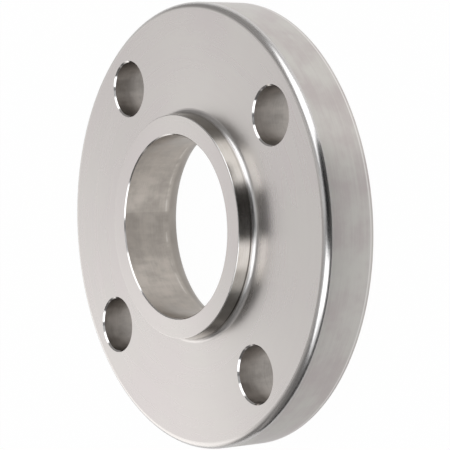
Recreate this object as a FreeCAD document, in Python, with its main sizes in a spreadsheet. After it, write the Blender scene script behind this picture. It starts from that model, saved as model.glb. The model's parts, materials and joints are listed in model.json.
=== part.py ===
import FreeCAD, Part
import math
import os

import Sketcher

# Slip on flange: one turned and drilled ring of stainless steel, sizes in millimetres.
# Its flat joint face lies at z = 0 around the origin, and the short hub points up, along +Z.

# The driving sizes: the cell's alias, its value, and what it measures.
SIZES = [
    ("rim_thickness", 19.05, "joint face to the face that the nuts bear on"),
    ("hub_diameter", 77.7, "outside diameter of the hub at its root"),
    ("hub_taper_degrees", 7.0, "lean of the hub's side towards its end, left by the forging die"),
    ("hub_projection", 6.35, "how far the hub stands above the nut face"),
    ("bore_diameter", 62.5, "plain bore that slips over the pipe or its stub end"),
    ("face_corner_radius", 7.9, "rounding where the bore meets the joint face"),
    ("bolt_circle_diameter", 120.65, "circle through the bolt holes' centres"),
    ("bolt_hole_diameter", 19.05, "drilled bolt hole"),
    ("bolt_hole_count", 4, "bolt holes around the circle"),
    ("rim_wall", 6.35, "steel left between a bolt hole and the rim, which sets the outside diameter"),
    ("nut_side_edge_radius", 2.5, "rounding of the rim's edge on the hub side"),
    ("face_side_edge_chamfer", 0.4, "bevel on the rim's edge at the joint face"),
    ("hub_root_radius", 1.6, "hollow fillet where the hub rises from the nut face"),
    ("hub_end_chamfer", 0.35, "bevel on the hub's outer end edge"),
    ("bore_end_chamfer", 0.6, "bevel on the bore's edge at the hub's end"),
    ("bolt_hole_chamfer", 0.5, "bevel on both ends of each bolt hole"),
]
SHEET = "Sizes"
FULL_TURN = 360.0
NEAR = 1e-4
FLANGE = "slip_on_flange"


def fill_sheet(doc):
    """The spreadsheet of driving sizes: a note, and a plain number under its alias."""
    sheet = doc.addObject("Spreadsheet::Sheet", SHEET)
    for row, (alias, value, note) in enumerate(SIZES, start=1):
        sheet.set(f"A{row}", note)
        sheet.set(f"B{row}", str(value))
        sheet.setAlias(f"B{row}", alias)
    doc.recompute()
    return sheet


def cell(alias):
    """How an expression names one of the sheet's cells."""
    return f"{SHEET}.{alias}"


def origin_feature(body, role):
    """The body's own origin plane or axis with the given role."""
    return next(item for item in body.Origin.OriginFeatures if item.Role == role)


def new_sketch(body, name, plane_role):
    """An empty sketch on one of the body's origin planes."""
    sketch = body.newObject("Sketcher::SketchObject", name)
    sketch.AttachmentSupport = [(origin_feature(body, plane_role), "")]
    sketch.MapMode = "FlatFace"
    return sketch


def bind(sketch, constraint, name, expression):
    """Add a dimension to the sketch, name it and tie it to the sheet."""
    index = sketch.addConstraint(constraint)
    sketch.renameConstraint(index, name)
    sketch.setExpression(f"Constraints.{name}", expression)


def section_places(sheet):
    """The section's radii and the heights of its nut face and hub end."""
    bore_r = sheet.bore_diameter / 2
    hub_r = sheet.hub_diameter / 2
    hub_end_r = hub_r - sheet.hub_projection * math.tan(math.radians(sheet.hub_taper_degrees))
    rim_r = (sheet.bolt_circle_diameter + sheet.bolt_hole_diameter) / 2 + sheet.rim_wall
    nut_z = sheet.rim_thickness
    end_z = nut_z + sheet.hub_projection
    return bore_r, hub_r, hub_end_r, rim_r, nut_z, end_z


def draw_section(body, sheet):
    """Half the ring's section, sharp cornered: an L of rim and hub beside the bore."""
    bore_r, hub_r, hub_end_r, rim_r, nut_z, end_z = section_places(sheet)
    corners = [(bore_r, 0), (rim_r, 0), (rim_r, nut_z), (hub_r, nut_z), (hub_end_r, end_z), (bore_r, end_z)]
    joint_face, rim, nut_face, hub_side, hub_end, bore = range(len(corners))

    sketch = new_sketch(body, "Section", "XZ_Plane")
    for start, end in zip(corners, corners[1:] + corners[:1]):
        sketch.addGeometry(Part.LineSegment(FreeCAD.Vector(*start, 0), FreeCAD.Vector(*end, 0)))
    for side in range(len(corners)):
        following = (side + 1) % len(corners)
        sketch.addConstraint(Sketcher.Constraint("Coincident", side, 2, following, 1))
    for level in (joint_face, nut_face, hub_end):
        sketch.addConstraint(Sketcher.Constraint("Horizontal", level))
    for upright in (rim, bore):
        sketch.addConstraint(Sketcher.Constraint("Vertical", upright))
    # The joint face lies on the sketch's level axis, which is z = 0.
    sketch.addConstraint(Sketcher.Constraint("PointOnObject", joint_face, 1, -1))

    def across(side, radius):
        """The distance from the flange's axis to the start of a side."""
        return Sketcher.Constraint("DistanceX", -1, 1, side, 1, radius)

    bind(sketch, across(joint_face, bore_r), "bore_radius", f"{cell('bore_diameter')} / 2")
    bind(
        sketch,
        across(rim, rim_r),
        "rim_radius",
        f"({cell('bolt_circle_diameter')} + {cell('bolt_hole_diameter')}) / 2 + {cell('rim_wall')}",
    )
    bind(sketch, across(hub_side, hub_r), "hub_radius", f"{cell('hub_diameter')} / 2")
    bind(
        sketch,
        across(hub_end, hub_end_r),
        "hub_end_radius",
        f"{cell('hub_diameter')} / 2 - {cell('hub_projection')} * tan({cell('hub_taper_degrees')} * 1 deg)",
    )
    bind(sketch, Sketcher.Constraint("DistanceY", rim, 1, rim, 2, nut_z), "thickness", cell("rim_thickness"))
    bind(
        sketch,
        Sketcher.Constraint("DistanceY", hub_side, 1, hub_side, 2, end_z - nut_z),
        "projection",
        cell("hub_projection"),
    )
    return sketch


def turn(body, sheet):
    """The sharp-cornered ring, turned about the flange's axis."""
    blank = body.newObject("PartDesign::Revolution", "TurnedBlank")
    blank.Profile = draw_section(body, sheet)
    blank.ReferenceAxis = (origin_feature(body, "Z_Axis"), [""])
    blank.Angle = FULL_TURN
    body.Document.recompute()


def round_edges(shape, radius, height):
    """Names of the shape's circular edges of one radius that lie at one height."""
    names = []
    for number, edge in enumerate(shape.Edges, start=1):
        curve = edge.Curve
        if not isinstance(curve, Part.Circle):
            continue
        if abs(curve.Radius - radius) < NEAR and abs(curve.Center.z - height) < NEAR:
            names.append(f"Edge{number}")
    return names


def dress(body, kind, name, edges, size):
    """A Fillet or Chamfer on some of the body's edges, its size tied to the sheet."""
    base = body.Tip
    feature = body.newObject(f"PartDesign::{kind}", name)
    feature.Base = (base, edges)
    feature.setExpression("Radius" if kind == "Fillet" else "Size", cell(size))
    body.Tip = feature
    body.Document.recompute()


def ease_edges(body, sheet):
    """The turned blank's roundings and bevels, each on one circle of the section."""
    bore_r, hub_r, hub_end_r, rim_r, nut_z, end_z = section_places(sheet)
    for kind, name, radius, height, size in (
        ("Fillet", "HubRoot", hub_r, nut_z, "hub_root_radius"),
        ("Fillet", "FaceCorner", bore_r, 0, "face_corner_radius"),
        ("Fillet", "NutSideEdge", rim_r, nut_z, "nut_side_edge_radius"),
        ("Chamfer", "FaceSideEdge", rim_r, 0, "face_side_edge_chamfer"),
        ("Chamfer", "HubEnd", hub_end_r, end_z, "hub_end_chamfer"),
        ("Chamfer", "BoreEnd", bore_r, end_z, "bore_end_chamfer"),
    ):
        dress(body, kind, name, round_edges(body.Tip.Shape, radius, height), size)


def draw_bolt_hole(body, sheet):
    """One bolt hole's circle, set half a step round so that the holes straddle the axes."""
    centre_r = sheet.bolt_circle_diameter / 2
    hole_r = sheet.bolt_hole_diameter / 2
    first = math.pi / sheet.bolt_hole_count
    centre = FreeCAD.Vector(centre_r * math.cos(first), centre_r * math.sin(first), 0)

    sketch = new_sketch(body, "BoltHoleCircle", "XY_Plane")
    spoke = sketch.addGeometry(Part.LineSegment(FreeCAD.Vector(0, 0, 0), centre), True)
    hole = sketch.addGeometry(Part.Circle(centre, FreeCAD.Vector(0, 0, 1), hole_r))
    sketch.addConstraint(Sketcher.Constraint("Coincident", spoke, 1, -1, 1))
    sketch.addConstraint(Sketcher.Constraint("Coincident", spoke, 2, hole, 3))
    bind(
        sketch,
        Sketcher.Constraint("Distance", spoke, centre_r),
        "bolt_circle_radius",
        f"{cell('bolt_circle_diameter')} / 2",
    )
    bind(
        sketch,
        Sketcher.Constraint("Angle", -1, 1, spoke, 1, first),
        "first_hole_angle",
        f"{FULL_TURN / 2} deg / {cell('bolt_hole_count')}",
    )
    bind(sketch, Sketcher.Constraint("Radius", hole, hole_r), "hole_radius", f"{cell('bolt_hole_diameter')} / 2")
    return sketch


def drill(body, sheet):
    """The bolt holes: one cut up through the rim, repeated round the axis, ends bevelled."""
    doc = body.Document
    undrilled_volume = body.Tip.Shape.Volume
    hole = body.newObject("PartDesign::Pocket", "BoltHole")
    hole.Profile = draw_bolt_hole(body, sheet)
    hole.Type = "ThroughAll"
    # The circle lies on the joint face, and a pocket cuts against its sketch's normal.
    hole.Reversed = True
    doc.recompute()
    if hole.Shape.Volume >= undrilled_volume:
        raise RuntimeError("the bolt hole cut nothing")

    ring = body.newObject("PartDesign::PolarPattern", "BoltHoles")
    ring.Originals = [hole]
    ring.Axis = (origin_feature(body, "Z_Axis"), [""])
    ring.Angle = FULL_TURN
    ring.setExpression("Occurrences", cell("bolt_hole_count"))
    body.Tip = ring
    doc.recompute()

    hole_r = sheet.bolt_hole_diameter / 2
    mouths = round_edges(ring.Shape, hole_r, 0) + round_edges(ring.Shape, hole_r, sheet.rim_thickness)
    dress(body, "Chamfer", "BoltHoleMouths", mouths, "bolt_hole_chamfer")


def make_flange(doc, sheet):
    """The flange, one solid: turned, eased and drilled."""
    body = doc.addObject("PartDesign::Body", "Flange")
    body.Label = FLANGE
    turn(body, sheet)
    ease_edges(body, sheet)
    drill(body, sheet)
    body.Placement = FreeCAD.Placement()
    return body


def check(doc, bodies):
    """Stop if any feature failed, or a sub-part's shape is empty, broken or in pieces."""
    for item in doc.Objects:
        if "Invalid" in item.State or "Error" in item.State:
            raise RuntimeError(f"{item.Label} did not compute: {item.State}")
    for body in bodies:
        if body.Shape.isNull() or not body.Shape.isValid() or len(body.Shape.Solids) != 1:
            raise RuntimeError(f"{body.Label} is not one sound solid")


def main():
    doc = FreeCAD.newDocument("SlipOnFlange")
    sheet = fill_sheet(doc)
    flange = make_flange(doc, sheet)
    doc.recompute()
    check(doc, [flange])
    os.makedirs("parts", exist_ok=True)
    flange.Shape.exportStep(os.path.join("parts", f"{flange.Label}.step"))
    box = flange.Shape.optimalBoundingBox()
    print(f"{flange.Label}: {box.XLength:.2f} x {box.YLength:.2f} x {box.ZLength:.2f} mm")
    print(f"volume {flange.Shape.Volume:.0f} cubic mm, {len(flange.Shape.Faces)} faces")


main()
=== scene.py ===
# %% [markdown]
# # A slip on flange in turned stainless steel
# This lesson dresses one pipe flange. Its shape was made in CAD and arrives as a fixed frame, and
# the lesson turns it again on a Blender "lathe", with the finishes that the machine shop leaves.
# Everything is in metres: the joint face lies on the floor at z = 0 and the hub points up.

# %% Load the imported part
import json
import math

import bpy
from mathutils import Matrix, Vector


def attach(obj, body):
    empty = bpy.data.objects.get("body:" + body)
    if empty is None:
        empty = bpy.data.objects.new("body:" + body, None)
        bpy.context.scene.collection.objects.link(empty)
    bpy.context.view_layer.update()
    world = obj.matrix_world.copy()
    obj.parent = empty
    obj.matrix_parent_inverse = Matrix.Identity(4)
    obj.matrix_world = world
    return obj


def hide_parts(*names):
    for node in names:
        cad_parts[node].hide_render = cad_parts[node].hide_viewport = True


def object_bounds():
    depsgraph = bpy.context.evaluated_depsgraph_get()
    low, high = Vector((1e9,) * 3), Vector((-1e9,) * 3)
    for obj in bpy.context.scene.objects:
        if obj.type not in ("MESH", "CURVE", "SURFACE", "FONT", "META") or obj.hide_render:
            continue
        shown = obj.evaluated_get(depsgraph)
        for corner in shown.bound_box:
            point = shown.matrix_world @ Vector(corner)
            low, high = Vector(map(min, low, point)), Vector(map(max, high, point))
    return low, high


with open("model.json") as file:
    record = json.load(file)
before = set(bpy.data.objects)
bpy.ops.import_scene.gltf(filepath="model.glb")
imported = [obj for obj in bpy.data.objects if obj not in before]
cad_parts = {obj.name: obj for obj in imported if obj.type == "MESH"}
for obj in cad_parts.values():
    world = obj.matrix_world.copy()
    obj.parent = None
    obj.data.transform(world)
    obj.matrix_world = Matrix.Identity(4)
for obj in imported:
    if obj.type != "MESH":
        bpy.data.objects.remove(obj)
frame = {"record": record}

cad_low, cad_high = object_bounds()
print("CAD box in mm:", [round(1000 * side, 2) for side in cad_high - cad_low])

# %% [markdown]
# ## The flange's sizes
# A flange is a catalogue part, so a few numbers say all of it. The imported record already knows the
# bore and the bolt circle, and the CAD box knows the outside. The rest are the small sizes of the
# section's corners and the hub's lean, read in millimetres and turned into metres once. Two edges
# at the hub's end are finer than the CAD's: a small rounding outside and a narrow bevel at the bore.

# %% The flange's sizes
MM, MICRON = 1e-3, 1e-6
DEGREES = 180 / math.pi
mounts = {mount["name"]: mount for mount in frame["record"]["mounts"]}
bore_radius = mounts["pipe_bore"]["dims"]["r_mm"] * MM
bolt_circle_radius = mounts["bolt_holes"]["dims"]["pcd_mm"] / 2 * MM
bolt_hole_radius = mounts["bolt_holes"]["dims"]["hole_r_mm"] * MM
bolt_hole_count = mounts["bolt_holes"]["dims"]["count"]
rim_radius = cad_high.x
hub_end_height = cad_high.z
nut_face_height = mounts["nut_face"]["pos_m"][2]
hub_diameter = 77.7 * MM
hub_radius = hub_diameter / 2
hub_lean = math.radians(7)
hub_end_radius = hub_radius - (hub_end_height - nut_face_height) * math.tan(hub_lean)
face_corner_radius = 7.9 * MM
rim_edge_radius = 2.5 * MM
rim_edge_bevel = 0.4 * MM
hub_root_radius = 1.6 * MM
hub_end_rounding = 0.35 * MM
bore_end_bevel = 0.35 * MM
bolt_hole_bevel = 0.5 * MM
print(f"rim {rim_radius / MM:.2f} mm, hub {hub_radius / MM:.2f} mm, bore {bore_radius / MM:.2f} mm in radius")

# %% [markdown]
# ## Sums that write nodes
# A material or a geometry tree is a long sum, and a long sum is easier to read as a line of Python
# than as a page of boxes. So one small class wraps an output socket: adding or multiplying it puts
# a Math node into its tree. Every other node comes from one method, `add`.

# %% Sums that write nodes
def find_socket(sockets, name):
    """A socket by its identifier, its name or its number."""
    if isinstance(name, int):
        return sockets[name]
    for socket in sockets:
        if socket.identifier == name:
            return socket
    return sockets[name]


class Wire:
    """An output socket that can be used in sums."""

    def __init__(self, sheet, socket):
        self.sheet = sheet
        self.socket = socket

    def maths(self, operation, *values):
        return self.sheet.add("ShaderNodeMath", {"operation": operation}, dict(enumerate(values)))

    def __add__(self, other):
        return self.maths("ADD", self, other)

    def __radd__(self, other):
        return self.maths("ADD", other, self)

    def __sub__(self, other):
        return self.maths("SUBTRACT", self, other)

    def __rsub__(self, other):
        return self.maths("SUBTRACT", other, self)

    def __mul__(self, other):
        return self.maths("MULTIPLY", self, other)

    def __rmul__(self, other):
        return self.maths("MULTIPLY", other, self)

    def __truediv__(self, other):
        return self.maths("DIVIDE", self, other)

    def __rtruediv__(self, other):
        return self.maths("DIVIDE", other, self)

    def __gt__(self, other):
        return self.maths("GREATER_THAN", self, other)

    def __lt__(self, other):
        return self.maths("LESS_THAN", self, other)

    def power(self, exponent):
        return self.maths("POWER", self, exponent)

    def size(self):
        return self.maths("ABSOLUTE", self)

    def ramp(self, low, high, to_low=0.0, to_high=1.0):
        """This value from low to high, eased into the range to_low to to_high."""
        settings = {"interpolation_type": "SMOOTHSTEP"}
        values = {"Value": self, "From Min": low, "From Max": high, "To Min": to_low, "To Max": to_high}
        return self.sheet.add("ShaderNodeMapRange", settings, values)


class Sheet:
    """A node tree that grows by one method."""

    def __init__(self, tree):
        self.tree = tree

    def join(self, node, name, value):
        """Give an input a number, a colour or another node's output."""
        socket = find_socket(node.inputs, name)
        if isinstance(value, Wire):
            self.tree.links.new(value.socket, socket)
        else:
            socket.default_value = value

    def add(self, kind, settings=None, values=None, out=0):
        """A node of one kind, its settings made first, and one of its outputs as a Wire."""
        node = self.tree.nodes.new(kind)
        for name, value in (settings or {}).items():
            if name == "cases":
                while len(node.index_switch_items) < value:
                    node.index_switch_items.new()
            else:
                setattr(node, name, value)
        for name, value in (values or {}).items():
            self.join(node, name, value)
        return Wire(self, find_socket(node.outputs, out))

    def xyz(self, vector):
        """The three parts of a vector."""
        first = self.add("ShaderNodeSeparateXYZ", None, {0: vector})
        return [Wire(self, output) for output in first.socket.node.outputs]

    def vector(self, x=0.0, y=0.0, z=0.0):
        return self.add("ShaderNodeCombineXYZ", None, {0: x, 1: y, 2: z})

    def blend(self, amount, first, second):
        """The first colour where the amount is 0, the second where it is 1."""
        first, second = (colour if isinstance(colour, Wire) else (*colour, 1.0) for colour in (first, second))
        values = {"Factor_Float": amount, "A_Color": first, "B_Color": second}
        return self.add("ShaderNodeMix", {"data_type": "RGBA"}, values, out="Result_Color")


print("Helpers ready: Wire for sums, Sheet.add for every other node")

# %% [markdown]
# ## A lathe in Geometry Nodes
# A lathe turns a section about an axis, and so does this tree. Six corners make an L, the same
# drawing as in the CAD. Fillet Curve rounds each corner with its own radius: with many points it
# gives an arc, and with a single step it gives a flat bevel. Curve to Mesh then carries the section
# round a circle. Every size is a named input, so a 3 inch flange is a matter of new numbers.

# %% The lathe's inputs
tree = bpy.data.node_groups.new("Turned and drilled flange", "GeometryNodeTree")
tree.interface.new_socket("Geometry", in_out="OUTPUT", socket_type="NodeSocketGeometry")
inputs = {
    "Bore radius": bore_radius,
    "Hub radius": hub_radius,
    "Hub end radius": hub_end_radius,
    "Rim radius": rim_radius,
    "Nut face height": nut_face_height,
    "Hub end height": hub_end_height,
    "Face corner radius": face_corner_radius,
    "Rim edge radius": rim_edge_radius,
    "Rim edge bevel": rim_edge_bevel,
    "Hub root radius": hub_root_radius,
    "Hub end rounding": hub_end_rounding,
    "Bore end bevel": bore_end_bevel,
    "Bolt circle radius": bolt_circle_radius,
    "Bolt hole radius": bolt_hole_radius,
    "Bolt hole bevel": bolt_hole_bevel,
    "Bolt hole count": bolt_hole_count,
    "Steps round": 320,
}
for name, value in inputs.items():
    kind = "NodeSocketInt" if isinstance(value, int) else "NodeSocketFloat"
    tree.interface.new_socket(name, in_out="INPUT", socket_type=kind)
lathe = Sheet(tree)
entry = tree.nodes.new("NodeGroupInput")
given = {name: Wire(lathe, entry.outputs[name]) for name in inputs}
print(f"{len(inputs)} named inputs")

# %% The section, rounded
bore, hub, rim = given["Bore radius"], given["Hub radius"], given["Rim radius"]
hub_tip = given["Hub end radius"]
nut_face, hub_end = given["Nut face height"], given["Hub end height"]
# Up the bore, over the hub's end and down to the nut face, out to the rim and back underneath.
# Each corner has its distance from the axis, its height, its size and its number of steps.
corners = [
    (bore, 0.0, given["Face corner radius"], 14),
    (bore, hub_end, given["Bore end bevel"], 1),
    (hub_tip, hub_end, given["Hub end rounding"], 5),
    (hub, nut_face, given["Hub root radius"], 10),
    (rim, nut_face, given["Rim edge radius"], 12),
    (rim, 0.0, given["Rim edge bevel"], 1),
]
point_number = lathe.add("GeometryNodeInputIndex")


def by_corner(data_type, choices):
    """A value that depends on which corner of the section a point is."""
    values = {"Index": point_number} | {f"Item_{number}": choice for number, choice in enumerate(choices)}
    return lathe.add("GeometryNodeIndexSwitch", {"data_type": data_type, "cases": len(choices)}, values)


# Carried round a circle, a section's second measure points down, so heights are drawn negative.
places = by_corner("VECTOR", [lathe.vector(radius - bore, -1 * height) for radius, height, size, steps in corners])
points = lathe.add("GeometryNodePoints", None, {"Count": len(corners), "Position": places})
outline = lathe.add("GeometryNodePointsToCurves", None, {"Points": points})
outline = lathe.add("GeometryNodeSetSplineCyclic", None, {"Geometry": outline, "Cyclic": True})
sizes = by_corner("FLOAT", [size for radius, height, size, steps in corners])
steps = by_corner("INT", [steps for radius, height, size, steps in corners])
section = lathe.add(
    "GeometryNodeFilletCurve", {"mode": "POLY"}, {"Curve": outline, "Count": steps, "Radius": sizes}
)
print(f"a section of {len(corners)} corners")

# %% The section, turned
way_round = lathe.add(
    "GeometryNodeCurvePrimitiveCircle", None, {"Resolution": given["Steps round"], "Radius": bore}
)
way_round = lathe.add("GeometryNodeSetCurveNormal", {"mode": "Z_UP"}, {"Curve": way_round})
blank = lathe.add("GeometryNodeCurveToMesh", None, {"Curve": way_round, "Profile Curve": section})
print("the section follows a circle as wide as the bore")

# %% [markdown]
# ## Drilling the bolt holes
# In the shop the four holes are drilled, then both mouths are eased with a countersink. The tool
# here is the drill and both countersinks in one: a cylinder of four rings, whose end rings are set
# wider. It is repeated on the bolt circle, half a step round so that the holes straddle the axes,
# and a Boolean takes it out. A stored attribute remembers which faces the drill has cut.

# %% The drill
overshoot = 0.5 * MM
drill_sides, drill_spans = 72, 3
drill_radius, mouth = given["Bolt hole radius"], given["Bolt hole bevel"]
drill = lathe.add(
    "GeometryNodeMeshCylinder",
    {"fill_type": "NGON"},
    {"Vertices": drill_sides, "Side Segments": drill_spans, "Radius": 1.0, "Depth": 1.0},
)
place = lathe.add("GeometryNodeInputPosition")
x, y, z = lathe.xyz(place)
ring = (z + 0.5) * drill_spans
at_end = (ring - 1.5).size() > 1.0
upper = ring > 1.5
reach = drill_radius + at_end * (mouth + overshoot)
level = upper * nut_face + (1 - 2 * upper) * (mouth - at_end * (mouth + overshoot))
drill = lathe.add(
    "GeometryNodeSetPosition", None, {"Geometry": drill, "Position": lathe.vector(x * reach, y * reach, level)}
)
drill = lathe.add(
    "GeometryNodeStoreNamedAttribute",
    {"data_type": "BOOLEAN", "domain": "FACE"},
    {"Geometry": drill, "Name": "drilled", "Value": True},
)
bolt_circle = lathe.add(
    "GeometryNodeMeshCircle", None, {"Vertices": given["Bolt hole count"], "Radius": given["Bolt circle radius"]}
)
drills = lathe.add("GeometryNodeInstanceOnPoints", None, {"Points": bolt_circle, "Instance": drill})
half_step = math.pi / given["Bolt hole count"]
drills = lathe.add(
    "GeometryNodeTransform", None, {"Geometry": drills, "Rotation": lathe.vector(0.0, 0.0, half_step)}
)
drills = lathe.add("GeometryNodeRealizeInstances", None, {"Geometry": drills})
drilled = lathe.add("GeometryNodeMeshBoolean", {"solver": "MANIFOLD"}, {"Mesh 1": blank, "Mesh 2": drills})
print("one drill, repeated on the bolt circle")

# %% [markdown]
# ## Which tool cut which face
# Each surface has the finish of the tool that made it, so each gets its own material. A face is
# known by where it lies: its distance from the axis and its height. The tests read the same named
# inputs as the section does, so they still hold when a size changes.

# %% Faces sorted by place
x, y, z = lathe.xyz(lathe.add("GeometryNodeInputPosition"))
radius = (x * x + y * y).power(0.5)
# How far a face's middle may lie from its surface: a hair on a curved one, less on a flat one.
hair = 0.02 * MM
flush = hair / 10
by_drill = lathe.add("GeometryNodeInputNamedAttribute", {"data_type": "BOOLEAN"}, {"Name": "drilled"})
edge, root, corner = given["Rim edge radius"], given["Hub root radius"], given["Face corner radius"]
rounding, bore_bevel = given["Hub end rounding"], given["Bore end bevel"]
rim_bevel = given["Rim edge bevel"]
surfaces = {
    "nut face": (radius > hub + root) * ((z - nut_face).size() < flush),
    "hub end": (z > hub_end - flush),
    "joint face": (z < flush),
    "rim side": (radius > rim - hair) * (z < nut_face - edge) * (z > rim_bevel),
    "bore end bevel": (radius < bore + bore_bevel) * (z > hub_end - bore_bevel) * (z < hub_end - flush),
    "hub end edge": (radius > hub_tip - rounding) * (z > hub_end - rounding) * (z < hub_end - flush),
    "rim edge bevel": (radius > rim - rim_bevel) * (z < rim_bevel),
    "hub root": (radius > hub - hair) * (radius < hub + root) * (z < nut_face + root) * (z > nut_face + flush),
    "hub side": (radius > hub_tip - rounding)
    * (radius < hub + hair)
    * (z > nut_face + root)
    * (z < hub_end - rounding),
    "bore": (radius < bore + hair) * (z < hub_end - bore_bevel) * (z > corner),
    "bore mouth": (radius < bore + corner) * (z < corner) * (z > flush),
    "bolt hole": by_drill * 1.0,
    "bolt hole bevel": by_drill * ((z - nut_face / 2).size() > nut_face / 2 - mouth),
}
print("surfaces:", ", ".join(["rounded edge", *surfaces]))

# %% [markdown]
# ## What turned steel looks like
# Stainless steel is a warm grey mirror with a skin of fine scratches. The base colour is its
# reflectance, Metallic is 1, and the scratches decide the rest. A lathe leaves rings: they follow
# the cut, so a reflection is smeared across them. Anisotropic does that, turned a quarter so that
# the smear crosses the rings. A noise stretched along the rings makes single lines, some deeper.

# %% A finish from rings and streaks
STEEL = (0.62, 0.598, 0.58)
QUARTER_TURN = 0.25


def dimmed(colour, amount):
    return tuple(amount * part for part in colour)


class Finish(Sheet):
    """A metal material, with the places on the piece that its patterns need."""

    def __init__(self, name, colour, roughness, anisotropic=0.0):
        self.material = bpy.data.materials.new(name)
        self.material.use_nodes = True
        super().__init__(self.material.node_tree)
        self.shader = self.tree.nodes["Principled BSDF"]
        self.join(self.shader, "Metallic", 1.0)
        self.join(self.shader, "Base Color", (*colour, 1.0))
        self.join(self.shader, "Roughness", roughness)
        self.join(self.shader, "Anisotropic", anisotropic)
        self.join(self.shader, "Anisotropic Rotation", QUARTER_TURN if anisotropic else 0.0)
        self.place = self.add("ShaderNodeTexCoord", out="Object")
        self.x, self.y, self.z = self.xyz(self.place)
        self.radius = (self.x * self.x + self.y * self.y).power(0.5)
        self.colour = colour

    def noise(self, vector, detail=2.0, roughness=0.5, scale=1.0):
        values = {"Vector": vector, "Scale": scale, "Detail": detail, "Roughness": roughness}
        return self.add("ShaderNodeTexNoise", None, values)

    def lines(self, along, per_mm, drift=1.5, detail=2.0):
        """Fine lines round the axis: a noise that changes fast along one measure, slowly round."""
        round_x, round_y = self.x / self.radius * drift, self.y / self.radius * drift
        return self.noise(self.vector(round_x, round_y, along * (per_mm / MM)), detail)

    def blotches(self, per_mm, detail=3.0):
        """Soft patches, the same in every direction."""
        return self.noise(self.place, detail, 0.55, per_mm / MM)

    def shade(self, amount, low, tint=None):
        """A darker tint where the pattern is 0, the steel's own colour where it is 1."""
        return self.blend(amount, dimmed(tint or self.colour, low), self.colour)

    def paint(self, colour):
        self.join(self.shader, "Base Color", colour)

    def rough(self, value):
        self.join(self.shader, "Roughness", value)

    def bump(self, height, depth):
        """Height from 0 to 1 becomes a relief of that depth in metres."""
        values = {"Height": height, "Distance": depth, "Strength": 1.0}
        self.join(self.shader, "Normal", self.add("ShaderNodeBump", None, values))


print("steel reflects", STEEL)

# %% [markdown]
# ## Turned faces
# The nut face, the hub's end and the joint face were all cut across the axis, so their rings are
# circles: the pattern runs with the distance from the axis. The first two are cut so fine that only
# faint rings and clouds show. The joint face is cut coarser on purpose, with grooves deep enough to
# catch the light, because a gasket or a stub end holds better on them.

# %% Turned faces
finishes = {}
SATIN, BLUSH, BLACK = (0.59, 0.572, 0.552), (0.605, 0.57, 0.565), (0.0, 0.0, 0.0)


def turned_face(name, roughness, rings_per_mm, darkest, groove_depth=0.0):
    steel = Finish(name, SATIN, roughness, anisotropic=0.55)
    fine = steel.lines(steel.radius, rings_per_mm)
    bands = steel.lines(steel.radius, rings_per_mm / 3, drift=0.8)
    cloud = steel.blotches(0.03)
    pattern = (fine * 0.1 + bands * 0.25 + cloud * 0.65).ramp(0.32, 0.68)
    steel.paint(steel.shade(pattern, darkest, tint=BLUSH))
    steel.rough((bands * 0.5 + cloud * 0.5).ramp(0.3, 0.7, roughness - 0.015, roughness + 0.025))
    if groove_depth:
        steel.bump(fine, groove_depth)
    return steel.material


finishes["nut face"] = turned_face("Turned nut face", 0.27, rings_per_mm=0.8, darkest=0.93)
finishes["hub end"] = turned_face("Turned hub end", 0.26, rings_per_mm=0.9, darkest=0.95)
finishes["joint face"] = turned_face(
    "Grooved joint face", 0.36, rings_per_mm=1.2, darkest=0.8, groove_depth=12 * MICRON
)
print("finishes so far:", ", ".join(finishes))

# %% [markdown]
# ## Turned sides
# The rim and the hub were cut along the axis, so their rings lie one above another and the pattern
# runs with the height. Each also has one painted line: a painted highlight close to the rim's lower
# edge, and a painted shade at the hub's root that fades part of the way round.

# %% Turned sides
def turned_side(name, roughness, smear, lines_per_mm, line_depth, colours, painted_line_height, painted_line_colour, fades=False):
    (colour, tint), darkest = colours, 0.84
    steel = Finish(name, colour, roughness, anisotropic=smear)
    fine = steel.lines(steel.z, lines_per_mm, drift=4.0)
    bands = steel.lines(steel.z, lines_per_mm / 8, drift=1.0)
    cloud = steel.blotches(0.11)
    skin = steel.shade((fine * 0.2 + bands * 0.2 + cloud * 0.6).ramp(0.35, 0.65), darkest, tint=tint)
    # A narrow line of colour at one height: painted highlight on the rim, painted shade on the hub.
    painted_line = 1 - (steel.z - painted_line_height).size().ramp(0.1 * MM, 0.4 * MM)
    if fades:
        painted_line = painted_line * steel.y.ramp(-2 * MM, 14 * MM, 1.0, 0.3) * steel.y.ramp(-34 * MM, -22 * MM, 0.3, 1.0)
    steel.paint(steel.blend(painted_line, skin, painted_line_colour))
    steel.rough((bands * 0.4 + cloud * 0.6).ramp(0.3, 0.7, roughness - 0.04, roughness + 0.05))
    steel.bump(fine, line_depth)
    return steel.material


finishes["rim side"] = turned_side(
    "Satin rim",
    roughness=0.36,
    smear=0.4,
    lines_per_mm=2.6,
    line_depth=1.5 * MICRON,
    colours=((0.6, 0.58, 0.545), (0.61, 0.555, 0.54)),
    # The rim's lighter line is a painted highlight.
    painted_line_height=1.3 * MM,
    painted_line_colour=(0.74, 0.71, 0.69),
)
finishes["hub side"] = turned_side(
    "Turned hub side",
    roughness=0.17,
    smear=0.6,
    lines_per_mm=3.0,
    line_depth=0.5 * MICRON,
    colours=((0.535, 0.51, 0.475), (0.5, 0.465, 0.42)),
    # The hub's near-black line is painted shade at its root, strongest on one side.
    painted_line_height=nut_face_height + hub_root_radius + 0.25 * MM,
    painted_line_colour=(0.1, 0.09, 0.08),
    fades=True,
)
print("finishes so far:", ", ".join(finishes))

# %% [markdown]
# ## Bright edges
# The rounded edges and the bevels were cut last, with a light cut or a polishing cloth, so they are
# the brightest parts and mirror the studio. Their few lines are hair fine. The hub's root is the
# dullest of them, because the cloth hardly reaches into a corner.

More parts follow.
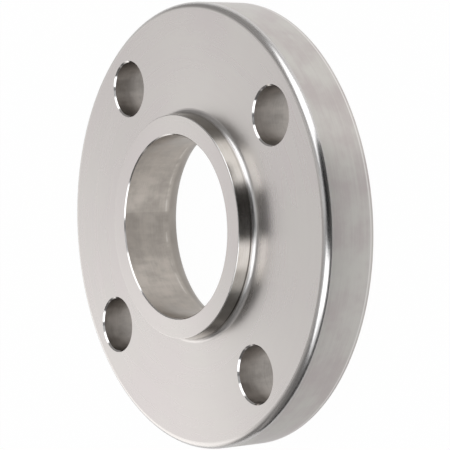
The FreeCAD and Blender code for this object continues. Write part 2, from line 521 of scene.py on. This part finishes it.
# %% Bright edges
def bright_edge(name, roughness, smear=0.3, darkest=0.9, colour=STEEL):
    steel = Finish(name, colour, roughness, anisotropic=smear)
    hairs = steel.lines(steel.radius + steel.z, 4.0, drift=2.0)
    steel.paint(steel.shade(hairs.ramp(0.3, 0.7), darkest))
    steel.rough(hairs.ramp(0.3, 0.7, roughness - 0.02, roughness + 0.04))
    steel.bump(hairs, 0.6 * MICRON)
    return steel.material


finishes["rounded edge"] = bright_edge("Polished rounding", 0.24, smear=0.6)
finishes["bore end bevel"] = bright_edge("Bright bore bevel", 0.1)
finishes["hub root"] = bright_edge("Hub root", 0.3, smear=0.7, darkest=0.76)
finishes["hub end edge"] = bright_edge("Broken hub edge", 0.2, colour=(0.58, 0.56, 0.54))
finishes["rim edge bevel"] = bright_edge("Rim bevel", 0.2)
finishes["bolt hole bevel"] = bright_edge("Countersunk mouth", 0.11)
print("finishes so far:", ", ".join(finishes))

# %% [markdown]
# ## Bored and drilled walls
# A boring bar and a drill both leave faint rings, one above another, and the chips leave scores and
# brownish clouds. In the bore there is more to see: painted shade on one side, standing in for a dark
# reflection, a light line where the rounded mouth begins, and the mouth itself, which is darker.

# %% Bored and drilled walls
def cut_wall(name, smear, lines_per_mm, colour, darkest, mouth=None):
    """The wall of a hole. A mouth is the height below which the wall is rounded and darker."""
    roughness, scores_round, scores_up = 0.36, 0.42 / MM, 0.07 / MM
    steel = Finish(name, colour, roughness, anisotropic=smear)
    fine = steel.lines(steel.z, lines_per_mm, drift=3.0)
    stretched = steel.vector(steel.x * scores_round, steel.y * scores_round, steel.z * scores_up)
    scores = steel.noise(stretched, 4.0, 0.6)
    cloud = steel.blotches(0.13, 5.0)
    skin = steel.shade((fine * 0.12 + scores * 0.2 + cloud * 0.68).ramp(0.34, 0.66), darkest)
    if mouth:
        # Painted shade: a darker patch on one side of the bore, standing in for a dark reflection.
        painted_shade_patch = (1 - steel.y.ramp(-0.2 * MM, 0.2 * MM)) * steel.y.ramp(-16 * MM, -2 * MM, 0.0, 0.14)
        skin = steel.blend(painted_shade_patch, skin, BLACK)
        line = 1 - (steel.z - mouth - 0.2 * MM).size().ramp(0.1 * MM, 0.5 * MM)
        skin = steel.blend(line * cloud.ramp(0.45, 0.6, 0.0, 0.6), skin, (0.7, 0.67, 0.63))
        # The rounded mouth is darker towards the bottom of the bore.
        skin = steel.blend(steel.z.ramp(mouth - 2.0 * MM, mouth - 0.2 * MM), dimmed(colour, 0.62), skin)
    steel.paint(skin)
    steel.rough(cloud.ramp(0.3, 0.7, roughness - 0.06, roughness + 0.08))
    steel.bump(fine * 0.5 + scores * 0.5, 2 * MICRON)
    return steel.material


finishes["bore"] = cut_wall("Bored wall", 0.75, 2.4, (0.54, 0.492, 0.446), darkest=0.64, mouth=face_corner_radius)
finishes["bore mouth"] = finishes["bore"]
finishes["bolt hole"] = cut_wall("Drilled wall", 0.0, 3.0, (0.48, 0.445, 0.415), darkest=0.56)
print(f"{len(set(finishes.values()))} materials for {len(finishes)} kinds of surface")

# %% [markdown]
# ## Off the lathe
# The tree ends by realising what it made, giving each surface its material and marking the sharp
# edges. A Weighted Normal modifier keeps the flat faces flat right up to their roundings.

# %% The tree's end
part = lathe.add("GeometryNodeRealizeInstances", None, {"Geometry": drilled})
part = lathe.add("GeometryNodeSetMaterial", None, {"Geometry": part, "Material": finishes["rounded edge"]})
for name, selection in surfaces.items():
    values = {"Geometry": part, "Selection": selection, "Material": finishes[name]}
    part = lathe.add("GeometryNodeSetMaterial", None, values)
part = lathe.add("GeometryNodeSetShadeSmooth", {"domain": "FACE"}, {"Geometry": part, "Shade Smooth": True})
sharp = math.radians(30)
turn = lathe.add("GeometryNodeInputMeshEdgeAngle")
values = {"Geometry": part, "Selection": turn > sharp, "Shade Smooth": False}
part = lathe.add("GeometryNodeSetShadeSmooth", {"domain": "EDGE"}, values)
leave = tree.nodes.new("NodeGroupOutput")
lathe.join(leave, "Geometry", part)
print(f"{len(tree.nodes)} nodes in the tree")

# %% The flange
flange = bpy.data.objects.new("flange", bpy.data.meshes.new("flange blank"))
bpy.context.scene.collection.objects.link(flange)
lathe_modifier = flange.modifiers.new("Lathe", "NODES")
lathe_modifier.node_group = tree
for item in tree.interface.items_tree:
    if item.in_out == "INPUT":
        lathe_modifier[item.identifier] = inputs[item.name]
smoother = flange.modifiers.new("Flat faces stay flat", "WEIGHTED_NORMAL")
smoother.keep_sharp = True
bpy.context.view_layer.update()
finished = flange.evaluated_get(bpy.context.evaluated_depsgraph_get())
mesh = bpy.data.meshes.new_from_object(finished)
flange.modifiers.clear()
flange.data = mesh
mesh.name = "flange"
if "drilled" in mesh.attributes:
    mesh.attributes.remove(mesh.attributes["drilled"])
mesh.calc_loop_triangles()
volume = sum(
    mesh.vertices[a].co.dot(mesh.vertices[b].co.cross(mesh.vertices[c].co)) / 6
    for a, b, c in (triangle.vertices for triangle in mesh.loop_triangles)
)
print(f"volume {volume * 1e9:.0f} cubic mm; a negative one would be inside out")
print(f"{len(mesh.vertices)} vertices, {len(mesh.loop_triangles)} triangles, {len(mesh.materials)} materials")

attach(flange, "root")
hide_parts("slip_on_flange")

# %% [markdown]
# ## The floor
# A pale floor runs past the picture's edges. Photographers light it until it turns white, and a
# Mix Shader says the same: the camera sees a plain white sheet, mixed with a little of a lit one
# that takes the flange's shadow. The steel's reflections see a bright pool round the flange, brighter
# on its lit side, and a dimmer floor farther off.

# %% The floor
def floor_sheet(width, drop):
    half = width / 2
    sheet_mesh = bpy.data.meshes.new("floor")
    ends = [(-half, -half), (half, -half), (half, half), (-half, half)]
    sheet_mesh.from_pydata([(x, y, -drop) for x, y in ends], [], [(0, 1, 2, 3)])
    sheet = bpy.data.objects.new("floor", sheet_mesh)
    bpy.context.scene.collection.objects.link(sheet)
    return sheet


floor_width, floor_drop = 12.0, 0.3 * MM
floor = floor_sheet(floor_width, floor_drop)
paper = bpy.data.materials.new("White paper")
paper.use_nodes = True
page = Sheet(paper.node_tree)
lit = page.tree.nodes["Principled BSDF"]
page.join(lit, "Base Color", (0.82, 0.82, 0.82, 1.0))
page.join(lit, "Roughness", 0.9)
page.join(lit, "Specular IOR Level", 0.0)
glow = page.add("ShaderNodeEmission", None, {"Color": (1.0, 1.0, 1.0, 1.0), "Strength": 1.0})
ray = page.add("ShaderNodeLightPath", None, None, "Is Camera Ray")
mirror = Wire(page, ray.socket.node.outputs["Is Glossy Ray"])
through = Wire(page, ray.socket.node.outputs["Is Transmission Ray"])
floor_x, floor_y = page.xyz(page.add("ShaderNodeTexCoord", out="Object"))[:2]
from_axis = (floor_x * floor_x + floor_y * floor_y).power(0.5)
bearing = floor_y.maths("ARCTAN2", floor_y, floor_x) * DEGREES
lit_side = bearing.ramp(20, 34) * (1 - bearing.ramp(150, 170))
under = 1 - from_axis.ramp(70 * MM, 82 * MM)
pool = under + (1 - under) * (1 - from_axis.ramp(110 * MM, 180 * MM)) * (0.42 + 0.58 * lit_side)
whiteness = (ray + through + mirror * pool) * 0.98
white = page.add("ShaderNodeMixShader", None, {0: whiteness, 1: Wire(page, lit.outputs[0]), 2: glow})
page.join(page.tree.nodes["Material Output"], "Surface", white)
floor.data.materials.append(paper)
print(f"floor {floor_width:.0f} m wide, {floor_drop / MM:.1f} mm under the flange")

# %% [markdown]
# ## Soft light
# Steel shows what is round it, so the studio is the look. Like a photographer of cutlery, this one
# sets two tall soft boxes in front with a dark gap between them, where the camera stands, hangs a
# white backdrop behind, and leaves the other walls dim. The world paints them by compass angle and
# height, so each is a line of sums: its brightness times a soft-edged patch. Each box is dimmer in
# one part, where the steel would wash out. The camera itself sees plain white.

# %% The studio's compass
world = bpy.data.worlds.new("studio")
bpy.context.scene.world = world
world.use_nodes = True
sky = Sheet(world.node_tree)
look = sky.add("ShaderNodeTexCoord", out="Generated")
look_x, look_y, look_z = sky.xyz(look)
compass = look_y.maths("ARCTAN2", look_y, look_x)
height = look_z.maths("ARCSINE", look_z) * DEGREES


def beside(angle, half_width, soft):
    """1 within half_width degrees of a compass angle, fading to 0 over soft degrees."""
    apart = compass - math.radians(angle)
    apart = apart.maths("ARCCOSINE", apart.maths("COSINE", apart)) * DEGREES
    return 1 - apart.ramp(half_width - soft / 2, half_width + soft / 2)


def between(low, high, soft):
    """1 between two heights in degrees, with soft edges."""
    return height.ramp(low - soft / 2, low + soft / 2) * (1 - height.ramp(high - soft / 2, high + soft / 2))


print("angles are measured from +X towards +Y, heights from the floor")

# %% Soft boxes, backdrop and dim walls
ceiling = height.ramp(50, 60, 0.0, 0.12) + height.ramp(62, 84, 0.0, 0.28)
over_gap = 0.5 * beside(36, 22, 12) * height.ramp(50, 56)
walls = 0.17 + 0.18 * beside(130, 50, 30) + over_gap + 0.4 * beside(-101, 3, 8)
right_box = 2.4 * beside(74, 26, 8) * between(-8, 60, 12)
right_box = right_box * (1 - 0.75 * beside(98, 20, 8) * between(-12, 14, 8))
left_box = 2.5 * beside(-32, 25, 8) * between(7, 65, 12)
left_box = left_box * (1 - 0.62 * beside(-50, 16, 10) * between(2, 32, 12))
backdrop = 0.595 * beside(201, 36, 20) * between(-40, 64, 20) * (1 - height.ramp(33, 43, 0.0, 0.3))
backdrop = backdrop + 0.88 * beside(210, 23, 22) * between(0, 35.5, 11)
gap = beside(23, 26.5, 4) * (1 - height.ramp(44, 52))
light = (walls + ceiling + right_box + left_box + backdrop) * (1 - 0.95 * gap)
warm, cool, white_card = (1.0, 0.985, 0.98), (0.965, 0.99, 1.02), (1.0, 1.0, 1.0)
tint = sky.blend(beside(20, 85, 20), warm, cool)
seen = sky.add("ShaderNodeLightPath", None, None, "Is Camera Ray")
background = sky.tree.nodes["Background"]
sky.join(background, "Color", sky.blend(seen, tint, white_card))
sky.join(background, "Strength", light * (1 - seen) + seen)
print("two soft boxes, a backdrop and a gap")

# %% [markdown]
# ## A black card
# Low in front, a curved black card keeps the steel's edges from washing out. Only reflections see
# it: it is hidden from the camera and throws no shadow, so the floor stays plain.

# %% A black card
def curved_card(radius, height, start, end, steps=48):
    """An upright strip on the floor that follows a circle round the flange."""
    points = []
    for step in range(steps + 1):
        angle = math.radians(start + (end - start) * step / steps)
        points += [(radius * math.cos(angle), radius * math.sin(angle), part) for part in (0.0, height)]
    faces = [(2 * step, 2 * step + 1, 2 * step + 3, 2 * step + 2) for step in range(steps)]
    card_mesh = bpy.data.meshes.new("black card")
    card_mesh.from_pydata(points, [], faces)
    card = bpy.data.objects.new("black_card", card_mesh)
    bpy.context.scene.collection.objects.link(card)
    return card


card = curved_card(radius=106 * MM, height=17.5 * MM, start=-72, end=34)
card_paint = bpy.data.materials.new("Black card")
card_paint.use_nodes = True
near_black = (0.07, 0.07, 0.07, 1.0)
Sheet(card_paint.node_tree).join(card_paint.node_tree.nodes["Principled BSDF"], "Base Color", near_black)
card.data.materials.append(card_paint)
card.visible_camera = card.visible_diffuse = card.visible_shadow = card.visible_transmission = False
print(f"a black card of {len(card.data.polygons)} faces stands round the front")

# %% [markdown]
# ## The camera
# The picture was taken with a long lens, from above the flange's upper right side, and it is rolled
# a quarter turn, so that a flange lying flat stands upright in it.

# %% The camera
aim = Vector((21.017, 3.641, 19.05)) * MM
camera_distance = 668.2345 * MM
azimuth, elevation, roll = math.radians(10.46988), math.radians(34.91645), math.radians(-92.84518)
across = math.cos(elevation)
away = Vector((across * math.cos(azimuth), across * math.sin(azimuth), math.sin(elevation)))
lens = bpy.data.cameras.new("camera")
lens.sensor_width = 36.0
lens.lens = 160.7808
lens.clip_start, lens.clip_end = 0.01, 100.0
camera = bpy.data.objects.new("camera", lens)
bpy.context.scene.collection.objects.link(camera)
forward = -away
right = forward.cross(Vector((0.0, 0.0, 1.0))).normalized()
up = right.cross(forward)
turned_right = right * math.cos(roll) + up * math.sin(roll)
turned_up = up * math.cos(roll) - right * math.sin(roll)
rotation = Matrix((turned_right, turned_up, away)).transposed()
camera.matrix_world = Matrix.Translation(aim + away * camera_distance) @ rotation.to_4x4()
bpy.context.scene.camera = camera
bpy.context.scene.view_settings.view_transform = "Standard"
print("camera at", [round(part, 4) for part in camera.matrix_world.translation])
